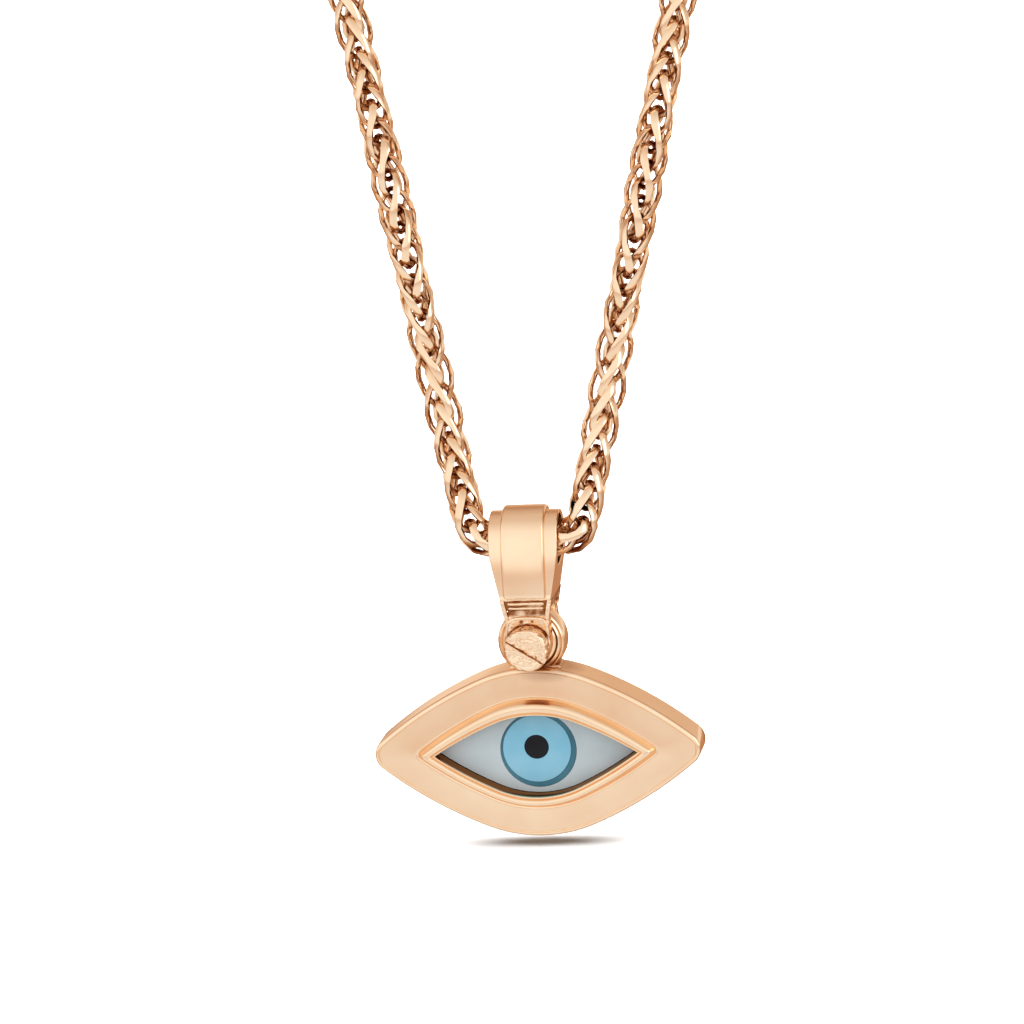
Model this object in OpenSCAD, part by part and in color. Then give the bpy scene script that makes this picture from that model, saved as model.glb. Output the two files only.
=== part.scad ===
// Evil eye pendant on a woven neck chain, in the form it takes when it is worn.
// The origin is the nape, where the clasp rests. -Y is the front, +X the wearer's left.

/* [Eye frame] */
// Length of the eye frame from tip to tip
frame_len = 22; // [20:0.5:26]
// Height of the eye frame
frame_h = 11.6; // [10.5:0.1:13]
// Thickness of the eye frame, without the bezel
frame_t = 3.2; // [2.4:0.1:4.2]
// Radius of the round top and bottom of the eye frame
frame_arc_r = 9.5; // [8:0.1:11]
// Radius of the four long curves from there to the tips
flank_r = 27; // [20:1:40]
// Radius of the two rounded tips
frame_tip_r = 1.2; // [0.8:0.1:1.6]
// Length of the raised bezel, from tip to tip
bezel_len = 16; // [15:0.1:17.5]
// Height of the raised bezel
bezel_h = 7.5; // [7.2:0.1:8.5]
// How far the bezel stands out of the frame
bezel_rise = 0.7; // [0.3:0.05:1.2]
// Width of the bezel's rim at the top and bottom
bezel_rim = 0.8; // [0.5:0.05:1]
// Depth from the bezel's edge down to the inlay
recess = 1.5; // [1:0.05:1.8]

/* [Inlay] */
// Thickness of the white inlay and of the discs in it
inlay_t = 1.2; // [0.8:0.1:1.4]
// Outside diameter of the dark blue ring
iris_d = 5.1; // [4.4:0.1:5.4]
// Diameter of the light blue disc
disc_d = 4.6; // [3.8:0.1:4.7]
// Diameter of the pupil
pupil_d = 1.6; // [1:0.1:2.4]
// Gap round each piece that is set in another
set_gap = 0.03; // [0.02:0.01:0.06]

/* [Eyelet and screw] */
// Outside diameter of the eyelet on the eye frame
eyelet_d = 4.6; // [4.2:0.1:5]
// Thickness of the eyelet
eyelet_t = 1.9; // [1.5:0.1:2.2]
// Width of the solder foot under the eyelet
foot_w = 5.2; // [4.6:0.1:6]
// How much narrower the foot is at its top, on each side
foot_slope = 0.3; // [0:0.05:0.6]
// Diameter of the screw's shaft
shaft_d = 1.2; // [1:0.05:1.4]
// Radial running clearance of the shaft in the eyelet
shaft_clear = 0.05; // [0.03:0.01:0.09]
// Diameter of the screw's head
head_d = 3; // [2.6:0.1:3.2]
// Thickness of the screw's head
head_t = 1.2; // [0.8:0.05:1.4]
// Width of the slot in the head
slot_w = 0.45; // [0.3:0.05:0.6]
// Depth of the slot in the head
slot_depth = 0.4; // [0.2:0.05:0.6]
// Slope of the slot, seen from the front
slot_angle = -30; // [-80:5:80]
// Gap between the head and the lug it faces
head_gap = 0.05; // [0.03:0.01:0.15]
// How far the shaft stands out of the back lug
shaft_end = 0.1; // [0:0.05:0.4]

/* [Bail] */
// Height of the chain's axis above the screw's axis
bail_rise = 6.8; // [6.4:0.1:8]
// Width of the bail's band
band_w = 4.6; // [4.4:0.1:5.2]
// Wall of the band over the chain
band_wall = 0.36; // [0.35:0.01:0.7]
// Width of the raised strip
strip_w = 2.9; // [2.4:0.1:3.4]
// How far the raised strip stands out of the band over the chain
strip_rise = 0.35; // [0.3:0.05:0.7]
// How far it stands out at its lower end
strip_end_rise = 0.4; // [0.2:0.05:0.6]
// Width of the two lugs that hold the eyelet
lug_w = 3; // [2.8:0.1:3.2]
// Thickness of each lug
lug_t = 1.3; // [1:0.05:1.5]
// Gap between the eyelet and each lug
lug_gap = 0.1; // [0.06:0.01:0.2]
// Gap between the lugs' round ends and the eye frame
end_gap = 0.15; // [0.12:0.01:0.3]
// Gap between the chain and the bail's tunnel
tunnel_gap = 0.3; // [0.25:0.01:0.4]

/* [Neck chain] */
// How far below the nape the pendant hangs on the chain
drop = 240; // [225:1:260]
// How far in front of the nape it hangs
reach = 92; // [84:1:104]
// Outside diameter of the chain
chain_d = 2.8; // [2.6:0.05:3]
// Radius of the chain's bend on each side of the bail
bend_r = 1.7; // [1.65:0.05:2]
// Distance from the bail's side to the start of that bend
bend_gap = -0.1; // [-0.1:0.05:0.2]

/* [Clasp] */
// Length of the clasp's barrel
barrel_len = 10; // [8:0.5:12]
// Diameter of the barrel
barrel_d = 3.6; // [3.2:0.1:4.4]
// Length of each of the barrel's rounded ends
barrel_round = 2; // [1.5:0.1:2.5]
// Wire of the rings at the barrel's ends
end_wire = 0.7; // [0.6:0.05:0.8]
// Outside diameter of those rings
end_ring_d = 3.2; // [2.8:0.1:3.4]
// How deep each ring is soldered into the barrel
ring_sink = 0.25; // [0.15:0.05:0.4]
// Gap between each ring and the end of the chain
ring_gap = 0.3; // [0.2:0.05:0.6]

/* [Hidden] */
$fn = 64;
rose_gold = "#E6B48C";

// The point where the pendant hangs on the chain
hang = [0, -reach, -drop];
// The chain's route on the wearer's left, from the clasp round the neck to the top of the front strand
route = [
    [18, 0.2, -1.5],
    [28, -4.5, -4.5],
    [37, -12, -10],
    [43.3, -21.5, -17.5],
    [46.6, -31, -26.5],
    [46.6, -39.5, -38],
    [44.3, -46, -52.5],
    [40.4, -51, -70]
];
// Rings of the chain's tube: sides, steps between route points, along a strand and round a bend
tube_sides = 8;
route_steps = 2;
strand_steps = 20;
bend_steps = 4;

// Where the screw and the middle of the eye frame lie under the chain
screw_at = hang - [0, 0, bail_rise];
eye_at = screw_at - [0, 0, lug_w / 2 + end_gap + frame_h / 2];

// Depths, from the middle plane of the pendant towards the front
front_y = -frame_t / 2;
bezel_y = front_y - bezel_rise;
inlay_y = bezel_y + recess;
lug_in = eyelet_t / 2 + lug_gap;
lug_out = lug_in + lug_t;
head_y = -lug_out - head_gap - head_t;
// How far a cut runs past the face it opens
past = 1;

// The bezel's outline follows the frame's round top at a smaller radius
arc_drop = frame_h / 2 - frame_arc_r;
bezel_tip_r = 0.3;
// Steps of a whole flank circle, of which the outlines use short pieces
flank_steps = 256;
// A tip's rim is longer than the side's because the sides meet at a slope
tip_rim = bezel_rim * 1.5;

// The discs sit a little off centre, as set by hand
disc_at = [-0.1, 0.08];
pupil_at = [-0.12, 0.2];

tunnel_r = chain_d / 2 + tunnel_gap;
band_r = tunnel_r + band_wall;
strip_r = band_r + strip_rise;
slot_top = eyelet_d / 2 + end_gap;
// Height of the strip's lower end above the screw, as a share of the bail's rise
strip_end = 0.49 * bail_rise;
// Half width of the band at heights above the screw, as shares of its width and of the bail's rise
band_taper = [
    // height, half width
    [0.92, 0.5],
    [0.62, 0.415]
];
neck_z = 0.31 * bail_rise;

// The round end of the barrel: radius and distance from its face, as shares of the full ones
barrel_round_table = [
    // radius, distance
    [0.61, 0],
    [0.89, 0.45],
    [1, 1]
];
clasp_y = barrel_d / 2;
end_ring_x = barrel_len / 2 + end_ring_d / 2 - ring_sink;
chain_start = [end_ring_x + end_ring_d / 2 + ring_gap, clasp_y, 0];

// An outline pushed through the depth of the pendant, from y0 to y1
module depth(y0, y1) {
    translate([0, y1, 0])
        rotate([90, 0, 0])
            linear_extrude(y1 - y0)
                children();
}

// A side view pushed through the width of the pendant
module across(width) {
    rotate([90, 0, 90])
        linear_extrude(width, center = true)
            children();
}

// Centre of the long curve that touches both the round top and the round tip
function flank_centre(side_r, arc_r, tip_x, tip_r) =
    let (
        way = [tip_x, -arc_drop],
        apart = norm(way),
        to_top = side_r - arc_r,
        to_tip = side_r - tip_r,
        along = (to_top * to_top - to_tip * to_tip + apart * apart) / (2 * apart),
        aside = sqrt(to_top * to_top - along * along)
    ) [0, arc_drop] + (way * along + [way.y, -way.x] * aside) / apart;

// What a rounded corner takes away: beyond the flanks' ends at half angle a, outside a circle
module corner(way, r, a, out) {
    rotate(way)
        difference() {
            translate([out + r * cos(a), -r])
                square(2 * r);
            translate([out, 0])
                circle(r);
        }
}

// Eye outline: four long curves whose corners are rounded, the tips only where their radius isn't 0
module eye_outline(len, h, tip_r) {
    inset = (frame_h - h) / 2;
    arc_r = frame_arc_r - inset;
    side_r = flank_r - inset;
    tip_x = len / 2 - tip_r;
    centre = flank_centre(side_r, arc_r, tip_x, tip_r);
    to_top = [0, arc_drop] - centre;
    to_tip = [tip_x, 0] - centre;
    difference() {
        intersection_for(way = [[1, 1], [-1, 1], [-1, -1], [1, -1]])
            translate([way.x * centre.x, way.y * centre.y])
                circle(side_r, $fn = flank_steps);
        for (turn = [0, 180])
            rotate(turn) {
                corner(90, arc_r, atan2(to_top.x, to_top.y), arc_drop);
                if (tip_r > 0)
                    corner(0, tip_r, atan2(to_tip.y, to_tip.x), tip_x);
            }
    }
}

// The bezel's opening has sharp tips
module opening_outline(grow = 0) {
    eye_outline(bezel_len - 2 * tip_rim + 4 * grow, bezel_h - 2 * bezel_rim + 2 * grow, 0);
}

// The eyelet's foot, as wide as the solder that joins it to the frame
module foot_outline() {
    half = foot_w / 2;
    top_z = -lug_w / 2;
    low_z = top_z - end_gap - past;
    polygon([
        [-half, low_z], [half, low_z], [half - foot_slope, top_z], [-half + foot_slope, top_z]
    ]);
}

module eye_frame() {
    pocket_y = inlay_y + inlay_t + set_gap;
    color(rose_gold) {
        difference() {
            union() {
                translate(eye_at) {
                    depth(front_y, frame_t / 2)
                        eye_outline(frame_len, frame_h, frame_tip_r);
                    depth(bezel_y, 0)
                        eye_outline(bezel_len, bezel_h, bezel_tip_r);
                }
                translate(screw_at)
                    depth(-eyelet_t / 2, eyelet_t / 2) {
                        circle(d = eyelet_d);
                        foot_outline();
                    }
            }
            translate(eye_at)
                depth(bezel_y - past, pocket_y)
                    opening_outline();
            translate(screw_at)
                depth(-frame_t, frame_t)
                    circle(shaft_d / 2 + shaft_clear);
        }
    }
}

module white_inlay() {
    color("#D5DDE2")
        translate(eye_at)
            difference() {
                depth(inlay_y, inlay_y + inlay_t)
                    opening_outline(-set_gap);
                depth(inlay_y - past, inlay_y + inlay_t + past)
                    circle(iris_d / 2 + set_gap);
            }
}

module iris_ring() {
    color("#3F8BA6")
        translate(eye_at)
            depth(inlay_y, inlay_y + inlay_t)
                difference() {
                    circle(d = iris_d);
                    translate(disc_at)
                        circle(disc_d / 2 + set_gap);
                }
}

module iris_disc() {
    color("#86C3E2")
        translate(eye_at)
            depth(inlay_y, inlay_y + inlay_t)
                difference() {
                    translate(disc_at)
                        circle(d = disc_d);
                    translate(pupil_at)
                        circle(pupil_d / 2 + set_gap);
                }
}

module pupil() {
    color("#15171C")
        translate(eye_at)
            depth(inlay_y, inlay_y + inlay_t)
                translate(pupil_at)
                    circle(d = pupil_d);
}

// Side view of the bail at a given radius over the chain and half depth at the lugs
module bail_side(arch_r, low_y, low_z) {
    translate([0, bail_rise])
        circle(arch_r);
    polygon([
        [-arch_r, bail_rise], [-low_y, low_z], [low_y, low_z], [arch_r, bail_rise]
    ]);
}

// Front view of the band: it tapers from the chain down to the lugs
module band_front() {
    row = [for (r = band_taper) [r[1] * band_w, r[0] * bail_rise]];
    top_z = bail_rise + strip_r + past;
    right = concat([[band_w / 2, top_z]], row, [[lug_w / 2, neck_z], [lug_w / 2, 0]]);
    polygon(concat(right, [for (i = [len(right) - 1:-1:0]) [-right[i].x, right[i].y]]));
    circle(d = lug_w);
}

module bail() {
    color(rose_gold)
        translate(screw_at)
            difference() {
                union() {
                    intersection() {
                        across(2 * band_w)
                            union() {
                                bail_side(band_r, lug_out, slot_top);
                                translate([-lug_out, -lug_w])
                                    square([2 * lug_out, lug_w + slot_top]);
                            }
                        depth(-2 * lug_out, 2 * lug_out)
                            band_front();
                    }
                    across(strip_w)
                        difference() {
                            bail_side(strip_r, lug_out + strip_end_rise, strip_end);
                            translate([0, bail_rise])
                                circle(tunnel_r);
                        }
                }
                across(2 * band_w) {
                    translate([0, bail_rise])
                        circle(tunnel_r);
                    translate([-lug_in, -2 * lug_w])
                        square([2 * lug_in, 2 * lug_w + slot_top]);
                }
                depth(-2 * lug_out, 2 * lug_out)
                    circle(shaft_d / 2 + set_gap);
            }
}

module bail_screw() {
    color(rose_gold)
        translate(screw_at)
            difference() {
                union() {
                    depth(head_y, head_y + head_t)
                        circle(d = head_d);
                    depth(head_y, lug_out + shaft_end)
                        circle(d = shaft_d);
                }
                depth(head_y - past, head_y + slot_depth)
                    rotate(slot_angle)
                        square([2 * head_d, slot_w], center = true);
            }
}

// A plain barrel clasp with a ring soldered on each end
module clasp() {
    half = barrel_len / 2;
    end = [for (t = barrel_round_table) [t[0] * barrel_d / 2, half - t[1] * barrel_round]];
    low = [for (i = [len(end) - 1:-1:0]) [end[i].x, -end[i].y]];
    color(rose_gold)
        translate([0, clasp_y, 0]) {
            rotate([0, 90, 0])
                rotate_extrude()
                    polygon(concat([[0, half]], end, low, [[0, -half]]));
            for (side = [-1, 1])
                translate([side * end_ring_x, 0, 0])
                    rotate([90, 0, 0])
                        rotate_extrude()
                            translate([(end_ring_d - end_wire) / 2, 0])
                                circle(d = end_wire);
        }
}

// A point on the smooth curve between b and c, where a and d are their neighbours
function between(a, b, c, d, t) =
    0.5 * (2 * b + t * (c - a) + t * t * (2 * a - 5 * b + 4 * c - d)
        + t * t * t * (3 * b - a - 3 * c + d));

function mirrored(p) = [-p.x, p.y, p.z];

// The front strands and the bends at the bail lie in one plane that leans back from the pendant
strand_top = route[len(route) - 1];
lean = [0, strand_top.y - hang.y, strand_top.z - hang.z];
up = lean / norm(lean);
bend_x = band_w / 2 + bend_gap;
bend_to = [strand_top.x - bend_x, norm(lean) - bend_r];
bend_angle = atan2(bend_to.y, bend_to.x) + asin(bend_r / norm(bend_to));

// Rings' centres on the wearer's left, from the clasp to the middle of the bail
half_route = let (
    bend = [for (i = [bend_steps:-1:0])
        let (a = bend_angle * i / bend_steps)
        hang + [bend_x + bend_r * sin(a), 0, 0] + up * bend_r * (1 - cos(a))],
    strand = [for (i = [1:strand_steps - 1])
        strand_top + (bend[0] - strand_top) * i / strand_steps],
    after = strand_top + (bend[0] - strand_top) / 10,
    knots = concat([chain_start - [end_ring_d, 0, 0], chain_start], route, [after]),
    back = [for (i = [1:len(knots) - 3]) for (k = [0:route_steps - 1])
        between(knots[i - 1], knots[i], knots[i + 1], knots[i + 2], k / route_steps)]
) concat(back, [strand_top], strand, bend);

// A closed tube of flat sides round a line of points
module tube(line, radius) {
    last = len(line) - 1;
    rings = [for (i = [0:last])
        let (
            way = line[min(i + 1, last)] - line[max(i - 1, 0)],
            side = cross(way, [0, 1, 0]),
            u = side / norm(side),
            over = cross(u, way),
            v = over / norm(over)
        )
        for (k = [0:tube_sides - 1])
            let (a = 360 * (k + 0.5) / tube_sides)
            line[i] + radius * (cos(a) * u + sin(a) * v)];
    start_cap = [for (k = [0:tube_sides - 1]) k];
    end_cap = [for (k = [tube_sides - 1:-1:0]) last * tube_sides + k];
    walls = [for (i = [0:last - 1]) for (k = [0:tube_sides - 1])
        let (a = i * tube_sides + k, b = i * tube_sides + (k + 1) % tube_sides)
        [a, a + tube_sides, b + tube_sides, b]];
    polyhedron(rings, concat([start_cap, end_cap], walls), convexity = 10);
}

module neck_chain() {
    last = len(half_route) - 1;
    line = concat(half_route, [for (i = [last:-1:0]) mirrored(half_route[i])]);
    color(rose_gold)
        tube(line, chain_d / 2);
}

neck_chain();
clasp();
bail();
bail_screw();
eye_frame();
white_inlay();
iris_ring();
iris_disc();
pupil();
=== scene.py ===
import math

import bmesh
import bpy
from mathutils import Matrix, Vector


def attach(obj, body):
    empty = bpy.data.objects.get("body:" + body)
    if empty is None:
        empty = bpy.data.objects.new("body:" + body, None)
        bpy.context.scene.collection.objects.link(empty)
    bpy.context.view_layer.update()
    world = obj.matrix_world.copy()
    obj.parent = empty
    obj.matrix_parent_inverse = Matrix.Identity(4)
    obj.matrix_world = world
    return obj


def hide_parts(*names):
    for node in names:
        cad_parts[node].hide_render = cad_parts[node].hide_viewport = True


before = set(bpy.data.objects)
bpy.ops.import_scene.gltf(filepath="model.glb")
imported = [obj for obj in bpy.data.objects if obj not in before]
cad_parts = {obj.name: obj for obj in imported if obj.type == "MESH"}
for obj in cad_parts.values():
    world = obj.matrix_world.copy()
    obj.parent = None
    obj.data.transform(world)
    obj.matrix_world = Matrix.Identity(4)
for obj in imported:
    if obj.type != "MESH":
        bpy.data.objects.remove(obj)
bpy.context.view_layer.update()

mm = 0.001
hang = Vector((0, -92, -240)) * mm                 # where the chain's axis passes through the bail
screwAt = hang - Vector((0, 0, 6.8)) * mm
eyeAt = screwAt - Vector((0, 0, 7.45)) * mm
print("frame loaded")

cameraSet = {
    "azimuth": 9.5,
    "elevation": 15,
    "roll": -3.7,
    "distance": 381 * mm,
    "lens": 200,
    "pitch": 2.36,                                 # lifts the view, so that the pendant sits low in the picture
    "yaw": 0.285,
}


def makeCamera():
    azimuth, elevation, roll, pitch, yaw = [
        math.radians(cameraSet[key]) for key in ("azimuth", "elevation", "roll", "pitch", "yaw")]
    away = Vector((math.sin(azimuth) * math.cos(elevation),
                   -math.cos(azimuth) * math.cos(elevation), math.sin(elevation)))
    turn = away.to_track_quat("Z", "Y").to_matrix()
    turn = turn @ Matrix.Rotation(roll, 3, "Z") @ Matrix.Rotation(pitch, 3, "X") @ Matrix.Rotation(yaw, 3, "Y")
    data = bpy.data.cameras.new("photoCamera")
    data.lens = cameraSet["lens"]
    data.clip_start = 0.01
    camera = bpy.data.objects.new("photoCamera", data)
    camera.matrix_world = Matrix.Translation(eyeAt + away * cameraSet["distance"]) @ turn.to_4x4()
    bpy.context.collection.objects.link(camera)
    bpy.context.scene.camera = camera
    print("camera placed")


makeCamera()


# node helpers for the materials
def newMaterial(name):
    material = bpy.data.materials.new(name)
    material.use_nodes = True
    nodes = material.node_tree.nodes
    nodes.clear()
    output = nodes.new("ShaderNodeOutputMaterial")
    shader = nodes.new("ShaderNodeBsdfPrincipled")
    material.node_tree.links.new(shader.outputs["BSDF"], output.inputs["Surface"])
    place = nodes.new("ShaderNodeTexCoord")
    return material, nodes, material.node_tree.links, shader, place.outputs["Object"]


def noise(nodes, links, place, scale, detail=3, roughness=0.5):
    node = nodes.new("ShaderNodeTexNoise")
    node.inputs["Scale"].default_value = scale
    node.inputs["Detail"].default_value = detail
    node.inputs["Roughness"].default_value = roughness
    links.new(place, node.inputs["Vector"])
    return node.outputs["Fac"]


def ramp(nodes, links, source, stops):
    node = nodes.new("ShaderNodeValToRGB")
    elements = node.color_ramp.elements
    while len(elements) < len(stops):
        elements.new(0.5)
    for element, (place, colour) in zip(elements, stops):
        element.position = place
        element.color = (*colour, 1)
    links.new(source, node.inputs["Fac"])
    return node.outputs["Color"]


def spread(nodes, links, source, low, high):
    node = nodes.new("ShaderNodeMapRange")
    node.inputs["To Min"].default_value = low
    node.inputs["To Max"].default_value = high
    links.new(source, node.inputs["Value"])
    return node.outputs["Result"]


def addBump(nodes, links, shader, height, distance):
    node = nodes.new("ShaderNodeBump")
    node.inputs["Distance"].default_value = distance
    links.new(height, node.inputs["Height"])
    links.new(node.outputs["Normal"], shader.inputs["Normal"])


goldSet = {
    "light": (0.94, 0.72, 0.51),
    "deep": (0.91, 0.66, 0.45),
    "dark": (0.28, 0.10, 0.035),                   # painted shade in the hollows of the frame and the chain
    "bailShade": (0.30, 0.10, 0.03),                    # and painted shade on the bail and the screw
    "black": (0.012, 0.008, 0.006),
    "edge": (1.0, 0.80, 0.62),                     # what it turns to where it is seen along its face
    "cloudScale": 350,                             # slow change of colour across a piece
    "polishScale": 2600,                           # fine marks of the polishing wheel
    "castScale": 1500,                             # the rough skin of the screw and the lugs
}

# where painted shade, black spots and the cast skin lie on the gold, in mm and degrees: a plain pair is where a
# mark begins to clear and where it is clear
shadeAndSkinSet = {
    "lens": ((-7.22, 0, -19.64), 24.27),           # circle of the opening's long curves, from the eye's middle
    "wallY": (0.76, 1.2),                          # painted shade on the opening's inner wall: middle and half depth
    "foot": ((0.9, 0, 5.5), (2.4, 2.0, 0.9)),      # painted shade at the eyelet's foot: centre from the eye's middle, half sizes
    "footEdge": (0.6, 1.15), "footShade": (-0.7, 1),
    "recessY": (2.17, 2.26),                       # painted shade between the bail's ridges, from the screw
    "recessZ": [(3.1, 3.2), (2.2, 2.0)],
    "patches": (0.5, 0.75),
    "headRing": (1.56, 1.66), "headRingZ": (0.9, 0.5),    # the painted shadow crescent above the screw's head
    "pits": [(-0.35, 1.72, 0.15), (0.38, 1.74, 0.10)],    # painted shade of pits in the lugs above the screw: x, height, radius
    # painted shade along the slot's edges and deep in the slot
    "slotAngle": -33, "slotHalf": 0.24, "slotEdge": (0.0, 0.09), "slotY": (-3.2, -3.36),
    "lugTop": (3.5, 3.1),                          # the cast skin ends here, above the screw
    "strand": [(3.86, 91.7, 238.6), (40.4, 51, 70)],      # painted shade round a strand's axis: the axis's ends, without their signs
    "chainAway": (0.3, 0.75),                      # distance from that axis
    # black spots in the chain beside the bail: place, half sizes
    "marks": [((3.2, -92.0, -237.75), (0.22, 0.9, 0.75)), ((4.05, -91.9, -238.0), (0.35, 0.6, 0.4))],
    "markEdge": (0.8, 1.1),
}


def tinted(nodes, links, colour, shade, clear):     # the shade where the mask is 0, the colour where it is 1
    node = nodes.new("ShaderNodeMix")
    node.data_type = "RGBA"
    node.inputs[6].default_value = (*shade, 1)
    links.new(clear, node.inputs[0])
    links.new(colour, node.inputs[7])
    return node.outputs[2]


def roseGold(name, smooth, dull, bumpDepth, shadeMask=None, rough=None, dark="dark", marks=None):
    material, nodes, links, shader, place = newMaterial(name)
    cloud = noise(nodes, links, place, goldSet["cloudScale"])
    polish = noise(nodes, links, place, goldSet["polishScale"], 5, 0.6)
    colour = ramp(nodes, links, cloud, [(0.3, goldSet["deep"]), (0.7, goldSet["light"])])
    # painted shade: the mask darkens the base colour where shade falls in the hollows
    if shadeMask:
        colour = tinted(nodes, links, colour, goldSet[dark], shadeMask(nodes, links, place))
    if marks:
        colour = tinted(nodes, links, colour, goldSet["black"], marks(nodes, links, place))
    links.new(colour, shader.inputs["Base Color"])
    links.new(spread(nodes, links, polish, smooth, dull), shader.inputs["Roughness"])
    shader.inputs["Metallic"].default_value = 1
    shader.inputs["Specular Tint"].default_value = (*goldSet["edge"], 1)
    height = polish
    if rough:
        cast = noise(nodes, links, place, goldSet["castScale"], 2)
        height = combine(nodes, links, "MULTIPLY", cast, rough(nodes, links, place))
    addBump(nodes, links, shader, height, bumpDepth * mm)
    return material


def vectorStep(nodes, links, source, operation, value=(0, 0, 0)):
    node = nodes.new("ShaderNodeVectorMath")
    node.operation = operation
    node.inputs[1].default_value = value
    links.new(source, node.inputs[0])
    return node.outputs["Value" if operation in ("LENGTH", "DOT_PRODUCT") else "Vector"]


def numberStep(nodes, links, source, operation, value):
    node = nodes.new("ShaderNodeMath")
    node.operation = operation
    node.inputs[1].default_value = value
    links.new(source, node.inputs[0])
    return node.outputs["Value"]


def between(nodes, links, source, start, end):     # 0 at one value, 1 at the other
    result = spread(nodes, links, source, 0, 1)
    result.node.inputs["From Min"].default_value = start
    result.node.inputs["From Max"].default_value = end
    return result


def combine(nodes, links, operation, one, two):
    node = nodes.new("ShaderNodeMath")
    node.operation = operation
    links.new(one, node.inputs[0])
    links.new(two, node.inputs[1])
    return node.outputs["Value"]


def splitUp(nodes, links, source):
    node = nodes.new("ShaderNodeSeparateXYZ")
    links.new(source, node.inputs["Vector"])
    return node.outputs


def lumpAt(nodes, links, place, centre, halves):   # 0 in the middle of an ellipsoid, 1 on its surface
    fromCentre = vectorStep(nodes, links, place, "SUBTRACT", centre)
    fromCentre = vectorStep(nodes, links, fromCentre, "DIVIDE", Vector(halves) * mm)
    return vectorStep(nodes, links, fromCentre, "LENGTH")


def frameShadeMask(nodes, links, place):              # painted shade: 0 on the opening's inner wall and at the eyelet's foot, 1 elsewhere
    fromEye = vectorStep(nodes, links, place, "SUBTRACT", eyeAt)
    # the opening's long curves are circles about one point, mirrored to all four quarters
    centre, radius = shadeAndSkinSet["lens"]
    flat = vectorStep(nodes, links, vectorStep(nodes, links, fromEye, "ABSOLUTE"), "MULTIPLY", (1, 0, 1))
    fromCentre = vectorStep(nodes, links, flat, "SUBTRACT", Vector(centre) * mm)
    fromCentre = vectorStep(nodes, links, fromCentre, "LENGTH")
    outside = numberStep(nodes, links, fromCentre, "GREATER_THAN", radius * mm)
    middle, half = shadeAndSkinSet["wallY"]
    depth = numberStep(nodes, links, splitUp(nodes, links, fromEye)["Y"], "ADD", middle * mm)
    depth = numberStep(nodes, links, depth, "ABSOLUTE", 0)
    clear = combine(nodes, links, "MAXIMUM", outside, numberStep(nodes, links, depth, "GREATER_THAN", half * mm))
    centre, halves = shadeAndSkinSet["foot"]
    foot = lumpAt(nodes, links, fromEye, Vector(centre) * mm, halves)
    foot = between(nodes, links, foot, *shadeAndSkinSet["footEdge"])
    return combine(nodes, links, "MULTIPLY", clear, between(nodes, links, foot, *shadeAndSkinSet["footShade"]))


def bailShadeMask(nodes, links, place):               # painted shade: 0 between the ridges, round the screw's head and in the pits
    fromScrew = vectorStep(nodes, links, place, "SUBTRACT", screwAt)
    fromScrew = vectorStep(nodes, links, fromScrew, "DIVIDE", (mm, mm, mm))
    upright = splitUp(nodes, links, vectorStep(nodes, links, fromScrew, "ABSOLUTE"))
    patches = noise(nodes, links, place, goldSet["polishScale"] / 2, 2)
    clear = combine(nodes, links, "MAXIMUM", between(nodes, links, upright["Y"], *shadeAndSkinSet["recessY"]),
                    between(nodes, links, patches, *shadeAndSkinSet["patches"]))
    for start, end in shadeAndSkinSet["recessZ"]:
        clear = combine(nodes, links, "MAXIMUM", clear, between(nodes, links, upright["Z"], start, end))
    flat = vectorStep(nodes, links, fromScrew, "MULTIPLY", (1, 0, 1))
    away = vectorStep(nodes, links, flat, "LENGTH")
    headRing = combine(nodes, links, "MAXIMUM", between(nodes, links, upright["Z"], *shadeAndSkinSet["headRingZ"]),
                       between(nodes, links, away, *shadeAndSkinSet["headRing"]))
    clear = combine(nodes, links, "MULTIPLY", clear, headRing)
    for x, z, radius in shadeAndSkinSet["pits"]:
        toPit = vectorStep(nodes, links, vectorStep(nodes, links, flat, "SUBTRACT", (x, 0, z)), "LENGTH")
        clear = combine(nodes, links, "MULTIPLY", clear, between(nodes, links, toPit, radius * 0.5, radius * 1.3))
    return clear


def screwShadeMask(nodes, links, place):              # painted shade: 0 in the corners of the slot
    slope = math.radians(shadeAndSkinSet["slotAngle"])
    across = Vector((-math.sin(slope), 0, math.cos(slope))) / mm
    fromScrew = vectorStep(nodes, links, place, "SUBTRACT", screwAt)
    fromEdge = vectorStep(nodes, links, fromScrew, "DOT_PRODUCT", across)
    fromEdge = numberStep(nodes, links, fromEdge, "ABSOLUTE", 0)
    fromEdge = numberStep(nodes, links, fromEdge, "SUBTRACT", shadeAndSkinSet["slotHalf"])
    fromEdge = numberStep(nodes, links, fromEdge, "ABSOLUTE", 0)
    start, end = [y * mm for y in shadeAndSkinSet["slotY"]]
    return combine(nodes, links, "MAXIMUM", between(nodes, links, fromEdge, *shadeAndSkinSet["slotEdge"]),
                   between(nodes, links, splitUp(nodes, links, fromScrew)["Y"], start, end))


def lugRough(nodes, links, place):                 # 1 at the lugs, 0 on the smooth band and strip
    start, end = [screwAt.z + height * mm for height in shadeAndSkinSet["lugTop"]]
    return between(nodes, links, splitUp(nodes, links, place)["Z"], start, end)


def chainShadeMask(nodes, links, place):              # painted shade: 0 on the axis of a straight strand, 1 near its outside
    start, end = [Vector(spot) * mm for spot in shadeAndSkinSet["strand"]]
    fromStart = vectorStep(nodes, links, vectorStep(nodes, links, place, "ABSOLUTE"), "SUBTRACT", start)
    away = vectorStep(nodes, links, fromStart, "CROSS_PRODUCT", (end - start).normalized())
    low, high = [distance * mm for distance in shadeAndSkinSet["chainAway"]]
    return between(nodes, links, vectorStep(nodes, links, away, "LENGTH"), low, high)


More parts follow.
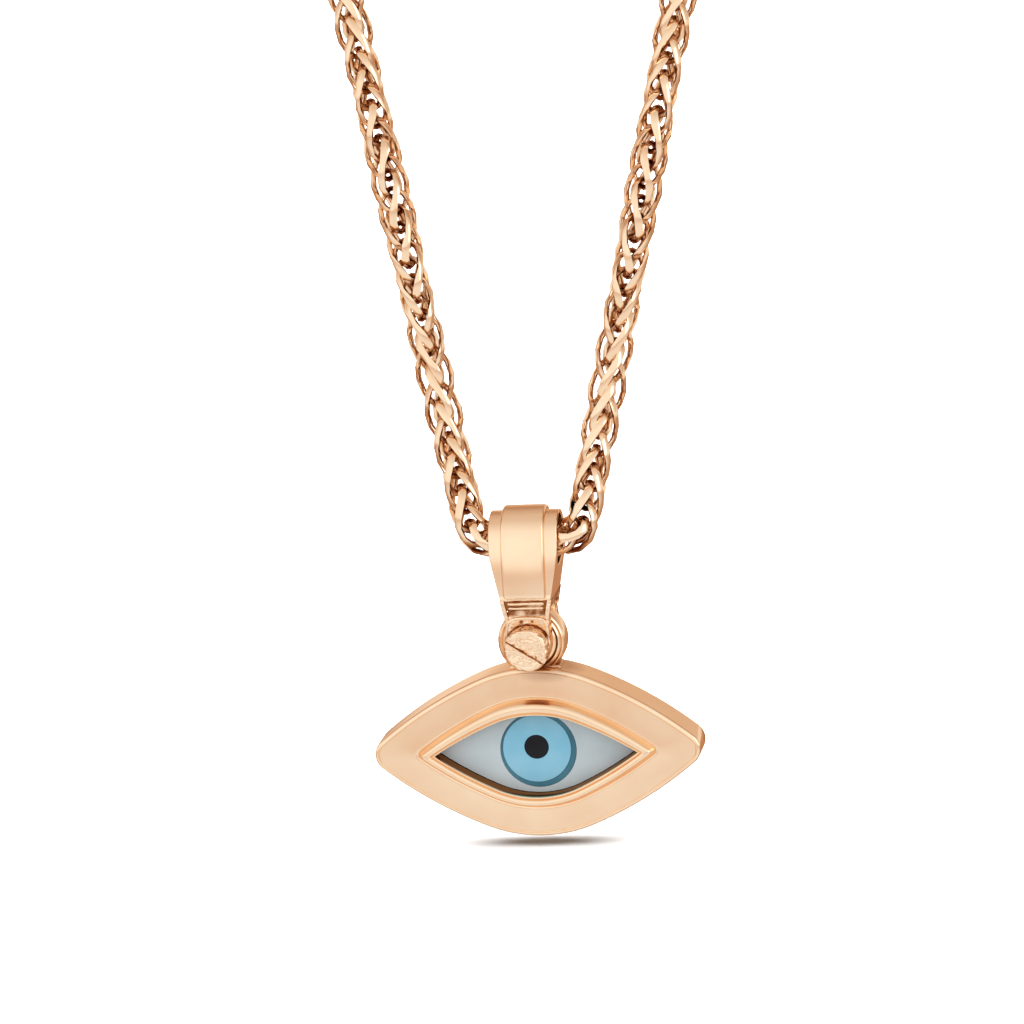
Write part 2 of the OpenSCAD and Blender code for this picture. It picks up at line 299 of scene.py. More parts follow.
def chainMarks(nodes, links, place):               # 0 in the black spots beside the bail
    clear = None
    for centre, halves in shadeAndSkinSet["marks"]:
        mark = lumpAt(nodes, links, place, Vector(centre) * mm, halves)
        mark = between(nodes, links, mark, *shadeAndSkinSet["markEdge"])
        clear = combine(nodes, links, "MULTIPLY", clear, mark) if clear else mark
    return clear


enamelSet = {
    "white": [(0.50, 0.61, 0.66), (0.58, 0.68, 0.73)],
    "darkBlue": [(0.03, 0.14, 0.21), (0.05, 0.21, 0.30)],
    "lightBlue": [(0.21, 0.54, 0.74), (0.28, 0.60, 0.79)],
    "black": [(0.008, 0.009, 0.013), (0.016, 0.017, 0.022)],
    "cloudScale": 500,
    "grainScale": 5000,
}


def enamel(name, colours, roughness, shine=0.4):
    material, nodes, links, shader, place = newMaterial(name)
    cloud = noise(nodes, links, place, enamelSet["cloudScale"])
    grain = noise(nodes, links, place, enamelSet["grainScale"], 2)
    links.new(ramp(nodes, links, cloud, [(0.3, colours[0]), (0.7, colours[1])]), shader.inputs["Base Color"])
    links.new(spread(nodes, links, grain, roughness * 0.8, roughness * 1.2), shader.inputs["Roughness"])
    shader.inputs["Specular IOR Level"].default_value = shine
    addBump(nodes, links, shader, grain, 0.001 * mm)
    return material


# the gold's numbers: roughness from and to, depth of the bump in mm; the enamel's: roughness and shine
frameGold = roseGold("frameGold", 0.14, 0.22, 0.002, frameShadeMask)
bailGold = roseGold("bailGold", 0.13, 0.21, 0.2, bailShadeMask, lugRough, "bailShade")
screwGold = roseGold("screwGold", 0.08, 0.18, 0.3, screwShadeMask, lugRough, "bailShade")
chainGold = roseGold("chainGold", 0.08, 0.16, 0.002, chainShadeMask, marks=chainMarks)
claspGold = roseGold("claspGold", 0.12, 0.20, 0.002)
whiteEnamel = enamel("whiteEnamel", enamelSet["white"], 0.25)
darkBlueEnamel = enamel("darkBlueEnamel", enamelSet["darkBlue"], 0.3)
lightBlueEnamel = enamel("lightBlueEnamel", enamelSet["lightBlue"], 0.3)
blackEnamel = enamel("blackEnamel", enamelSet["black"], 0.3, 0.15)
print("materials made")


# shared steps of the modelling
def onlyVerts(geometry):
    return [part for part in geometry if isinstance(part, bmesh.types.BMVert)]


def mix(low, high, share):
    return low + (high - low) * share


def lookUp(table, key):                            # straight lines between the rows of a table
    for (keyA, valueA), (keyB, valueB) in zip(table, table[1:]):
        if key <= keyB:
            return mix(valueA, valueB, min(max((key - keyA) / (keyB - keyA), 0), 1))
    return table[-1][1]


def closeUp(bm):
    bmesh.ops.remove_doubles(bm, verts=bm.verts[:], dist=0.0005 * mm)
    bmesh.ops.dissolve_degenerate(bm, edges=bm.edges[:], dist=0.0005 * mm)
    bmesh.ops.recalc_face_normals(bm, faces=bm.faces[:])


def softenEdges(bm, width, angle=40, segments=3):
    closeUp(bm)
    sharp = [edge for edge in bm.edges if edge.is_manifold and edge.calc_face_angle() > math.radians(angle)]
    bmesh.ops.bevel(bm, geom=sharp, offset=width, offset_type="OFFSET", affect="EDGES", segments=segments,
                    profile=0.5, material=-1, clamp_overlap=True)


def spinProfile(bm, profile, centre, axis, steps):
    # profile rows are radius and place along the axis, in mm
    axis = Vector(axis)
    across = Vector((0, 0, 1)) if abs(axis.z) < 0.5 else Vector((1, 0, 0))
    verts = [bm.verts.new(centre + (across * radius + axis * along) * mm) for radius, along in profile]
    edges = [bm.edges.new(pair) for pair in zip(verts, verts[1:])]
    bmesh.ops.spin(bm, geom=verts + edges, cent=centre, axis=axis, angle=2 * math.pi, steps=steps, use_merge=True)


def addTo(bm, part):                               # joins one finished shell to the others of its piece
    mesh = bpy.data.meshes.new("shell")
    part.to_mesh(mesh)
    part.free()
    bm.from_mesh(mesh)
    bpy.data.meshes.remove(mesh)


def showPiece(name, bm, material, body, node, sharp):
    mesh = bpy.data.meshes.new(name)
    bm.to_mesh(mesh)
    bm.free()
    mesh.materials.append(material)
    mesh.shade_smooth()
    mesh.set_sharp_from_angle(angle=math.radians(sharp))
    piece = bpy.data.objects.new(name, mesh)
    bpy.context.collection.objects.link(piece)
    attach(piece, body)
    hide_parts(node)
    print(name, "made,", len(mesh.polygons), "faces")
    return piece


def finishPiece(name, bm, material, body, node, sharp=35):
    closeUp(bm)
    piece = showPiece(name, bm, material, body, node, sharp)
    weighted = piece.modifiers.new("weightedNormals", "WEIGHTED_NORMAL")
    weighted.keep_sharp = True


frameSet = {
    "arcZ": -3.7,                                  # centre of the round top, under the middle
    "flankR": 27,                                  # radius of the long curves from there to the tips
    "steps": (12, 14, 7),                          # of the top, a flank and a tip, in a quarter
    "outline": (22, 11.6, 1.2),                    # length, height, radius of the tips
    "bezel": (16, 7.5, 0.3),
    "opening": (13.6, 5.9, 0.02),
    "outer": [                                     # inset, depth: the front is negative
        (0.30, 1.60), (0.14, 1.57), (0.04, 1.48), (0.0, 1.34),
        (0.0, -1.30), (0.02, -1.39), (0.07, -1.47), (0.15, -1.52), (0.24, -1.54), (0.26, -1.50),
        (0.30, -1.49), (0.34, -1.54),
    ],
    "border": [(0.24, -1.545), (0.5, -1.555), (0.75, -1.58), (0.9, -1.602), (0.97, -1.614)],
    "rim": [                                       # share of the way from the bezel's outside in, depth
        (0.0, -1.58), (0.04, -1.66), (0.12, -1.90), (0.18, -2.05), (0.26, -2.17), (0.36, -2.25), (0.48, -2.28),
        (0.62, -2.26), (0.72, -2.20), (0.76, -2.08), (0.80, -2.02), (0.84, -2.05), (0.90, -2.10), (0.96, -2.09),
        (1.0, -2.02), (1.0, -0.70), (1.0, 0.42),
    ],
    "eyelet": [                                    # radius, place along the axis
        (0.65, 0.80), (0.75, 0.92), (1.50, 0.95), (1.58, 0.90), (1.64, 0.85), (1.72, 0.90), (1.80, 0.95),
        (1.88, 0.90), (1.94, 0.83), (2.0, 0.88), (2.08, 0.92), (2.15, 0.87), (2.21, 0.78), (2.27, 0.68),
        (2.30, 0.50),
    ],
    "lid": 0.1,                                    # how much lower the upper rim of the opening comes
    "eyeletSteps": 56,
    "footWidth": 3.7, "footTop": 3.4, "footDepth": 1.9, "footX": 0.15,
    "footZ": (-2.75, -1.62),                       # from the screw
    "footSoften": 0.12,
}


def arcsOf(shape, inset=0):                        # centre, radius and angles of the top, flank and tip, in mm
    length, height, tip = shape
    top, end = Vector((0, frameSet["arcZ"])), Vector((length / 2 - tip, 0))
    topR = height / 2 - top.y
    flankR = frameSet["flankR"] - (frameSet["outline"][1] - height) / 2
    way = end - top
    along = ((flankR - topR) ** 2 - (flankR - tip) ** 2 + way.length_squared) / (2 * way.length)
    aside = math.sqrt((flankR - topR) ** 2 - along ** 2)
    flank = top + (way * along + Vector((way.y, -way.x)) * aside) / way.length
    turnA, turnB = [math.atan2(spot.y - flank.y, spot.x - flank.x) for spot in (top, end)]
    return [(top, topR - inset, math.pi / 2, turnA), (flank, flankR - inset, turnA, turnB),
            (end, tip - inset, turnB, 0)]


def spotOn(arc, share):
    centre, radius, start, end = arc
    turn = mix(start, end, share)
    return centre + Vector((math.cos(turn), math.sin(turn))) * radius


def placeOn(arcs, spot):                           # which arc a spot lies on, and how far along it
    for number, (centre, radius, start, end) in enumerate(arcs):
        turn = math.atan2(spot.y - centre.y, spot.x - centre.x)
        if turn > end - 0.00001 or number == 2:
            return number, min(max((start - turn) / (start - end), 0), 1)


def firstLoop(bm, arcs, depth):                    # a quarter made with three spins, then mirrored twice
    for arc, steps in zip(arcs, frameSet["steps"]):
        spot = spotOn(arc, 0)
        first = bm.verts.new(eyeAt + Vector((spot.x, depth, spot.y)) * mm)
        centre = eyeAt + Vector((arc[0].x, depth, arc[0].y)) * mm
        bmesh.ops.spin(bm, geom=[first], cent=centre, axis=(0, 1, 0), angle=arc[2] - arc[3], steps=steps,
                       use_merge=False)
    for axis in ("Z", "X"):
        bmesh.ops.mirror(bm, geom=bm.verts[:] + bm.edges[:], matrix=Matrix.Translation(-eyeAt),
                         merge_dist=0.001 * mm, axis=axis)
    bmesh.ops.remove_doubles(bm, verts=bm.verts[:], dist=0.001 * mm)
    return bm.edges[:]


def nextLoop(bm, edges, old, new, depth):          # extrudes a loop and slides it onto the next outline
    verts = onlyVerts(bmesh.ops.extrude_edge_only(bm, edges=edges)["geom"])
    for vert in verts:
        x, z = (vert.co.x - eyeAt.x) / mm, (vert.co.z - eyeAt.z) / mm
        number, share = placeOn(old, Vector((abs(x), abs(z))))
        spot = spotOn(new[number], share)
        vert.co = eyeAt + Vector((math.copysign(spot.x, x) if abs(x) > 0.0005 else 0, depth,
                                  math.copysign(spot.y, z) if abs(z) > 0.0005 else 0)) * mm
    kept = set(verts)
    return [edge for edge in bm.edges if edge.verts[0] in kept and edge.verts[1] in kept]


def makeEyeFrame():
    bm = bmesh.new()
    outline, bezel, opening = frameSet["outline"], frameSet["bezel"], frameSet["opening"]
    rows = [(arcsOf(outline, inset), depth) for inset, depth in frameSet["outer"]]
    for rowSet, fromShape, toShape in (("border", outline, bezel), ("rim", bezel, opening)):
        for share, depth in frameSet[rowSet]:
            rows.append((arcsOf([mix(a, b, share) for a, b in zip(fromShape, toShape)]), depth))
    arcs, depth = rows[0]
    edges = firstLoop(bm, arcs, depth)
    bmesh.ops.contextual_create(bm, geom=edges)
    loops = []
    for newArcs, depth in rows[1:]:
        edges = nextLoop(bm, edges, arcs, newArcs, depth)
        arcs = newArcs
        loops.append({vert for edge in edges for vert in edge.verts})
    bmesh.ops.contextual_create(bm, geom=edges)
    for verts, (share, depth) in zip(loops[-len(frameSet["rim"]):], frameSet["rim"]):
        for vert in verts:
            if vert.co.z > eyeAt.z:
                vert.co.z = mix(vert.co.z, eyeAt.z, frameSet["lid"] * share)
    closeUp(bm)

    ring = bmesh.new()
    front = [(radius, -along) for radius, along in frameSet["eyelet"]]
    spinProfile(ring, front + frameSet["eyelet"][::-1] + front[:1], screwAt, (0, 1, 0), frameSet["eyeletSteps"])
    closeUp(ring)
    addTo(bm, ring)

    foot = bmesh.new()
    low, high = frameSet["footZ"]
    bmesh.ops.create_cube(foot, size=1)
    bmesh.ops.scale(foot, vec=Vector((frameSet["footWidth"], frameSet["footDepth"], high - low)) * mm,
                    verts=foot.verts[:])
    for vert in foot.verts:
        if vert.co.z > 0:
            vert.co.x *= frameSet["footTop"] / frameSet["footWidth"]
    bmesh.ops.translate(foot, vec=screwAt + Vector((frameSet["footX"], 0, (low + high) / 2)) * mm,
                        verts=foot.verts[:])
    softenEdges(foot, frameSet["footSoften"] * mm)
    addTo(bm, foot)
    finishPiece("eyeFrame", bm, frameGold, "pendant", "eye_frame")


makeEyeFrame()


bailSet = {
    "rise": 6.8,                                   # the chain's axis above the screw
    "bandR": 2.0, "tunnelR": 1.7,
    "archTurn": 72, "archSteps": 12,               # where the round top goes over into the flank
    "flank": [                                     # height, depth
        (7.42, 1.90), (7.0, 2.02), (6.6, 2.11), (6.2, 2.18), (5.8, 2.23), (5.4, 2.26), (5.2, 2.275), (5.1, 2.28),
        (4.6, 2.30), (4.1, 2.31), (3.65, 2.31), (3.2, 2.31), (3.1, 2.16), (2.45, 2.16),
    ],
    "halfWidth": [(0, 1.5), (2.1, 1.5), (4.2, 1.91), (6.26, 2.3)],
    "soften": 0.15,
    "stripR": 2.34, "stripInside": 1.85, "stripSoften": 0.2,
    "stripHalfWidth": [(3.3, 1.4), (6.0, 1.45)],
    "stripFlank": [
        (7.52, 2.225), (7.15, 2.33), (6.8, 2.42), (6.45, 2.495), (6.1, 2.555), (5.75, 2.605), (5.4, 2.645),
        (5.05, 2.675), (4.7, 2.695), (4.35, 2.707), (4.0, 2.71), (3.65, 2.71), (3.33, 2.70),
    ],
    "lugR": 1.5, "lugBore": 0.63, "lugSteps": 40,
    "lugSquare": (0.4, 0.45),                      # under 1: how square the upper half is, across and up
    "plates": [(1.05, 2.16, 2.72), (2.05, 2.35, 2.05)],   # inside, outside and top of the two layers of a lug
    "plateSoften": 0.07,
    "lugRim": 0.1, "rimStep": (0.03, 0.06),        # width of the rim, width and depth of the step inside it
    "ridges": [(2.92, 0.12, 2.5), (2.62, 0.11, 2.4)],     # height, radius, width
    "ridgeY": 2.16, "ridgeSteps": 12,
    "ridgeEnd": [(0, 0), (0.7, 0.03), (1, 0.12)],  # share of the radius, distance from the end
    "cheek": (1.48, 0.3, 1.9, 3.2),                # x, width, foot and top of the walls beside the ridges
    "cheekY": 2.17, "cheekDepth": 0.3, "cheekLean": 11, "cheekSoften": 0.07,
}


def ladder(bm, rungs):                             # an edge pulled through pairs of (depth, height)
    ends = [bm.verts.new((0, *spot)) for spot in rungs[0]]
    bm.edges.new(ends)
    for rung in rungs[1:]:
        edge = bm.edges.get(ends)
        made = onlyVerts(bmesh.ops.extrude_edge_only(bm, edges=[edge])["geom"])
        ends = [min(made, key=lambda vert: (vert.co - end.co).length) for end in ends]
        for vert, spot in zip(ends, rung):
            vert.co = (0, *spot)


def wideSolid(bm, widthAt):                        # mirrors the ladder to the back, then widens it to both sides
    bmesh.ops.mirror(bm, geom=bm.verts[:] + bm.edges[:] + bm.faces[:], merge_dist=0.001, axis="Y")
    bmesh.ops.remove_doubles(bm, verts=bm.verts[:], dist=0.001)
    bmesh.ops.recalc_face_normals(bm, faces=bm.faces[:])
    bmesh.ops.translate(bm, vec=(-1, 0, 0), verts=bm.verts[:])
    made = bmesh.ops.extrude_face_region(bm, geom=bm.faces[:], use_keep_orig=True)["geom"]
    bmesh.ops.translate(bm, vec=(2, 0, 0), verts=onlyVerts(made))
    for vert in bm.verts:
        vert.co.x *= widthAt(vert.co.z)
    bmesh.ops.transform(bm, matrix=Matrix.Translation(screwAt) @ Matrix.Scale(mm, 4), verts=bm.verts[:])


def makePlate(bm, side, inside, outside, top):    # one layer of a lug: round below, square above, with its bore
    plate = bmesh.new()
    for radius in (bailSet["lugR"], bailSet["lugBore"]):
        bmesh.ops.create_circle(plate, segments=bailSet["lugSteps"], radius=radius,
                                matrix=Matrix.Rotation(math.radians(90), 4, "X"))
    squareX, squareZ = bailSet["lugSquare"]
    for vert in plate.verts:
        if vert.co.length > 1 and vert.co.z > 0.01:
            cosine, sine = vert.co.x / bailSet["lugR"], vert.co.z / bailSet["lugR"]
            vert.co.x = bailSet["lugR"] * math.copysign(abs(cosine) ** squareX, cosine)
            vert.co.z = top * sine ** squareZ
    faces = bmesh.ops.bridge_loops(plate, edges=plate.edges[:])["faces"]
    made = bmesh.ops.extrude_face_region(plate, geom=faces, use_keep_orig=True)["geom"]
    outer = onlyVerts(made)
    bmesh.ops.translate(plate, vec=(0, side * (outside - inside), 0), verts=outer)
    bmesh.ops.translate(plate, vec=(0, side * inside, 0), verts=plate.verts[:])
    bmesh.ops.transform(plate, matrix=Matrix.Translation(screwAt) @ Matrix.Scale(mm, 4), verts=plate.verts[:])
    softenEdges(plate, bailSet["plateSoften"] * mm)
    front = screwAt.y + side * outside * mm
    face = [face for face in plate.faces if all(abs(vert.co.y - front) < 0.001 * mm for vert in face.verts)]
    stepWidth, stepDepth = bailSet["rimStep"]
    for width, depth in ((bailSet["lugRim"], 0), (stepWidth, -stepDepth)):
        bmesh.ops.inset_region(plate, faces=face, thickness=width * mm, depth=depth * mm, use_even_offset=True)
    closeUp(plate)
    addTo(bm, plate)


def makeBail():
    rise, archSteps = bailSet["rise"], bailSet["archSteps"]

    def arch(outer, inner):                        # the round top: pairs of spots from the crown to the flank
        turns = [math.radians(bailSet["archTurn"]) * step / archSteps for step in range(archSteps + 1)]
        return [[(-radius * math.sin(turn), rise + radius * math.cos(turn)) for radius in (outer, inner)]
                for turn in turns]

    rungs = arch(bailSet["bandR"], bailSet["tunnelR"])
    tunnelR = bailSet["tunnelR"]
    for height, outer in bailSet["flank"][1:]:
        inner = math.sqrt(max(tunnelR ** 2 - (height - rise) ** 2, 0)) if height < rise else tunnelR
        rungs.append([(-outer, height), (-inner, height)])
    band = bmesh.new()
    ladder(band, rungs)
    wideSolid(band, lambda z: lookUp(bailSet["halfWidth"], z))
    softenEdges(band, bailSet["soften"] * mm, 50)

    rungs = arch(bailSet["stripR"], bailSet["stripInside"])
    for height, outer in bailSet["stripFlank"][1:]:
        rungs.append([(-outer, height), (-min(bailSet["stripInside"], outer), height)])
    strip = bmesh.new()
    ladder(strip, rungs)
    wideSolid(strip, lambda z: lookUp(bailSet["stripHalfWidth"], z))
    softenEdges(strip, bailSet["stripSoften"] * mm, 50)
    addTo(band, strip)

    for side in (-1, 1):
        for inside, outside, top in bailSet["plates"]:
            makePlate(band, side, inside, outside, top)
        for height, radius, width in bailSet["ridges"]:
            bar = bmesh.new()
            end = [(radius * share, width / 2 - inset) for share, inset in bailSet["ridgeEnd"]]
            spinProfile(bar, end + [(spot, -along) for spot, along in end[::-1]],
                        screwAt + Vector((0, side * bailSet["ridgeY"], height)) * mm, (1, 0, 0),
                        bailSet["ridgeSteps"])
            closeUp(bar)
            addTo(band, bar)
        for end in (-1, 1):
            x, width, foot, top = bailSet["cheek"]
            cheek = bmesh.new()
            bmesh.ops.create_cube(cheek, size=1)
            bmesh.ops.scale(cheek, vec=Vector((width, bailSet["cheekDepth"], top - foot)) * mm,
                            verts=cheek.verts[:])
            bmesh.ops.rotate(cheek, matrix=Matrix.Rotation(math.radians(bailSet["cheekLean"] * end), 3, "Y"),
                             verts=cheek.verts[:])
            middle = Vector((end * x, side * bailSet["cheekY"], (foot + top) / 2))
            bmesh.ops.translate(cheek, vec=screwAt + middle * mm, verts=cheek.verts[:])
            softenEdges(cheek, bailSet["cheekSoften"] * mm, 50, 2)
            addTo(band, cheek)
    finishPiece("bailBand", band, bailGold, "bail", "bail")


makeBail()


screwSet = {
    "head": [                                      # radius, depth: the front is negative
        (0.6, -2.42), (1.40, -2.42), (1.5, -2.50), (1.5, -2.92), (1.48, -3.12), (1.43, -3.28), (1.35, -3.39),
        (1.26, -3.44), (1.18, -3.44), (1.12, -3.40), (1.06, -3.38), (0.8, -3.41), (0.5, -3.43), (0, -3.44),
    ],
    "shaft": [(0, 2.45), (0.5, 2.45), (0.57, 2.42), (0.6, 2.36), (0.6, -2.42)],
    "slotFloor": -3.12,
    "headFrom": -2.6,                              # faces before this depth are the head's
    "steps": 48, "soften": 0.03,
}


def makeScrew():
    bm = bmesh.new()
    spinProfile(bm, screwSet["shaft"] + screwSet["head"], screwAt, (0, 1, 0), screwSet["steps"])
    closeUp(bm)
    slope = math.radians(shadeAndSkinSet["slotAngle"])
    across, along = Vector((-math.sin(slope), 0, math.cos(slope))), Vector((math.cos(slope), 0, math.sin(slope)))
    floor = screwAt + Vector((0, screwSet["slotFloor"], 0)) * mm
    half = shadeAndSkinSet["slotHalf"] * mm
    near = 0.0001 * mm                             # closer than this counts as the same place

    def aside(spot):                               # distance from the middle of the slot
        return (spot - screwAt).dot(across)

    for side in (-1, 1):
        bmesh.ops.bisect_plane(bm, geom=bm.verts[:] + bm.edges[:] + bm.faces[:], dist=near / 10,
                               plane_co=screwAt + across * half * side, plane_no=across)
    headFrom = screwAt.y + screwSet["headFrom"] * mm
    headFaces = [face for face in bm.faces if face.calc_center_median().y < headFrom]
    headEdges = {edge for face in headFaces for edge in face.edges}
    headVerts = {vert for face in headFaces for vert in face.verts}
    bmesh.ops.bisect_plane(bm, geom=list(headVerts) + list(headEdges) + headFaces, dist=near / 10,
                           plane_co=floor, plane_no=(0, 1, 0))
    inSlot = [face for face in bm.faces if face.calc_center_median().y < floor.y - near
              and abs(aside(face.calc_center_median())) < half]
    bmesh.ops.delete(bm, geom=inSlot, context="FACES")
    onFloor = [vert for vert in bm.verts if abs(vert.co.y - floor.y) < near
               and abs(aside(vert.co)) < half + near and vert.is_boundary]
    walls = []
    for side in (-1, 1):
        corners = [vert for vert in onFloor if abs(aside(vert.co) - half * side) < near * 10]
        corners.sort(key=lambda vert: vert.co.dot(along))
        walls.append(bm.edges.new((corners[0], corners[-1])))
        rail = [edge for edge in bm.edges if edge.is_boundary and all(
            abs(aside(vert.co) - half * side) < near * 10 and vert.co.y < floor.y + near for vert in edge.verts)]
        bmesh.ops.contextual_create(bm, geom=rail + [walls[-1]])
    ends = [edge for edge in bm.edges if edge.is_boundary and all(vert in onFloor for vert in edge.verts)]
    bmesh.ops.contextual_create(bm, geom=list(set(ends + walls)))
    softenEdges(bm, screwSet["soften"] * mm, 60, 2)
    finishPiece("bailScrew", bm, screwGold, "bail", "bail_screw")


makeScrew()


claspSet = {
    "y": 1.8,
    "barrel": [                                    # radius, place along the barrel, of one half
        (0, 5.0), (0.9, 5.0), (1.1, 4.93), (1.3, 4.7), (1.6, 4.1), (1.74, 3.6), (1.8, 3.0),
        (1.8, 0.12), (1.72, 0.04),
    ],
    "ringX": 6.35, "ringR": 1.25, "wireR": 0.35,
    "barrelSteps": 40, "ringSteps": 28, "wireSides": 10,
}


def makeClasp():
    bm = bmesh.new()
    centre = Vector((0, claspSet["y"], 0)) * mm
    half = claspSet["barrel"]
    spinProfile(bm, half + [(radius, -along) for radius, along in half[::-1]], centre, (1, 0, 0),
                claspSet["barrelSteps"])
    for side in (-1, 1):
        ring = bmesh.new()
        middle = centre + Vector((side * claspSet["ringX"], 0, 0)) * mm
        bmesh.ops.create_circle(ring, segments=claspSet["wireSides"], radius=claspSet["wireR"] * mm,
                                matrix=Matrix.Translation(middle + Vector((claspSet["ringR"], 0, 0)) * mm))
        bmesh.ops.spin(ring, geom=ring.verts[:] + ring.edges[:], cent=middle, axis=(0, 1, 0), angle=2 * math.pi,
                       steps=claspSet["ringSteps"], use_merge=True)
        addTo(bm, ring)
    finishPiece("claspBarrel", bm, claspGold, "chain", "clasp")


makeClasp()


chainSet = {
    "knots": [                                     # the route on the wearer's left, from the nape to the front
        (5.05, 1.8, 0), (8.25, 1.8, 0), (18, 0.2, -1.5), (28, -4.5, -4.5), (37, -12, -10), (43.3, -21.5, -17.5),
        (46.6, -31, -26.5), (46.6, -39.5, -38), (44.3, -46, -52.5), (40.4, -51, -70),
    ],
    "bendR": 1.7, "bendX": 2.2,                    # the bend at the bail and where it starts
    "bendSteps": 24, "strandSteps": 120, "knotSteps": 40,
    "tableStep": 0.1,                              # how finely the route is looked up
    "pitch": 1.2, "linkLength": 4.2, "linkR": 1.1,
    "claspRun": 3.2,                               # the route's part that lies in the clasp
    "endIn": 0.85,                                 # how far from there the last link's middle lies
    "lead": 45,                                    # each link is twisted by this much to each end
    # how the weave turns: place along the chain from the bail in mm, turn in degrees
    "roll": [(-292, -765), (-45, -286), (-7, -33), (7, 39), (45, -214), (292, -675)],
    "wireWide": 0.225, "wireThick": 0.2,
    "flat": 1.4,                                   # widens the wire's outer face
    "ringR": 10,                                   # of the plain ring that a link is made from
    "endTilt": 0.25,                               # how far the wire's face turns to the link's end
    "linkSteps": 16, "wireSides": 6, "sharp": 60,
    "fineSteps": 24, "fineReach": 8,               # the links near the bail are finer
}


def routePoints():                                 # one half of the route, from the bail to the clasp
    knots = [Vector(knot) * mm for knot in chainSet["knots"]]
    top = knots[-1]
    lean = Vector((0, top.y - hang.y, top.z - hang.z))
    up = lean.normalized()
    bendR, bendX = chainSet["bendR"] * mm, chainSet["bendX"] * mm
    toX, toUp = top.x - bendX, lean.length - bendR
    bendAngle = math.atan2(toUp, toX) + math.asin(bendR / math.hypot(toX, toUp))
    points = [hang.copy()]
    for step in range(chainSet["bendSteps"] + 1):
        turn = bendAngle * step / chainSet["bendSteps"]
        points.append(hang + Vector((bendX + bendR * math.sin(turn), 0, 0)) + up * bendR * (1 - math.cos(turn)))
    bendEnd = points[-1]
    strandSteps, knotSteps = chainSet["strandSteps"], chainSet["knotSteps"]
    points += [bendEnd.lerp(top, step / strandSteps) for step in range(1, strandSteps)]
    knots.append(top + (bendEnd - top) / 10)       # so that the curve runs into the straight strand
    back = []
    for a, b, c, d in zip(knots, knots[1:], knots[2:], knots[3:]):
        for step in range(knotSteps):
            t = step / knotSteps
            back.append(0.5 * (2 * b + t * (c - a) + t * t * (2 * a - 5 * b + 4 * c - d)
                               + t ** 3 * (3 * b - a - 3 * c + d)))
    return points + [top] + back[::-1] + [knots[0]]


def wholeRoute():
    half = routePoints()
    line = [Vector((-point.x, point.y, point.z)) for point in half[:0:-1]] + half
    along = [0]
    for one, two in zip(line, line[1:]):
        along.append(along[-1] + (two - one).length)
    middle = along[len(half) - 1]
    return line, [distance - middle for distance in along]


def frameTable(line, along, reach, step):          # places and directions at equal steps along the chain
    rows = []
    index = 0
    count = int(2 * reach / step)
    for number in range(count + 1):
        distance = -reach + 2 * reach * number / count
        while index < len(line) - 2 and along[index + 1] < distance:
            index += 1
        share = (distance - along[index]) / max(along[index + 1] - along[index], 1e-9)
        rows.append(line[index].lerp(line[index + 1], min(max(share, 0), 1)))
    frames = []
    for number, spot in enumerate(rows):
        way = rows[min(number + 2, count)] - rows[max(number - 2, 0)]
        way.normalize()
        side = way.cross(Vector((0, 1, 0))).normalized()
        frames.append((spot, side, side.cross(way)))
    return frames


def makeLink(steps):                               # a spun ring, to be pulled out and twisted into one link
    bm = bmesh.new()
    bmesh.ops.create_circle(bm, segments=chainSet["wireSides"], radius=1,
                            matrix=Matrix.Rotation(math.pi / chainSet["wireSides"], 4, "Z"))
    bmesh.ops.translate(bm, vec=(chainSet["ringR"], 0, 0), verts=bm.verts[:])
    bmesh.ops.spin(bm, geom=bm.verts[:] + bm.edges[:], cent=(0, 0, 0), axis=(0, 1, 0), angle=2 * math.pi,
                   steps=steps, use_merge=True)
    bmesh.ops.recalc_face_normals(bm, faces=bm.faces[:])
    return bm


def wirePoint(turn, hand):
    height = chainSet["linkLength"] / 2 * math.cos(turn)
    lead = math.radians(chainSet["lead"]) * hand * math.cos(turn)
    out = chainSet["linkR"] * math.sin(turn)
    return Vector((out * math.cos(lead), out * math.sin(lead), height))


def shapeLink(bm, hand):                           # lays the ring's wire along the twisted link
    for vert in bm.verts:
        turn = math.atan2(vert.co.x, vert.co.z)
        thick = math.hypot(vert.co.x, vert.co.z) - chainSet["ringR"]
        wide = vert.co.y * (chainSet["flat"] if thick > 0.5 else 1)
        spot = wirePoint(turn, hand)
        way = (wirePoint(turn + 0.01, hand) - wirePoint(turn - 0.01, hand)).normalized()
        out = Vector((spot.x, spot.y, spot.z * chainSet["endTilt"])).normalized()
        broad = way.cross(out).normalized()
        out = broad.cross(way)
        vert.co = spot + out * thick * chainSet["wireThick"] + broad * wide * chainSet["wireWide"]


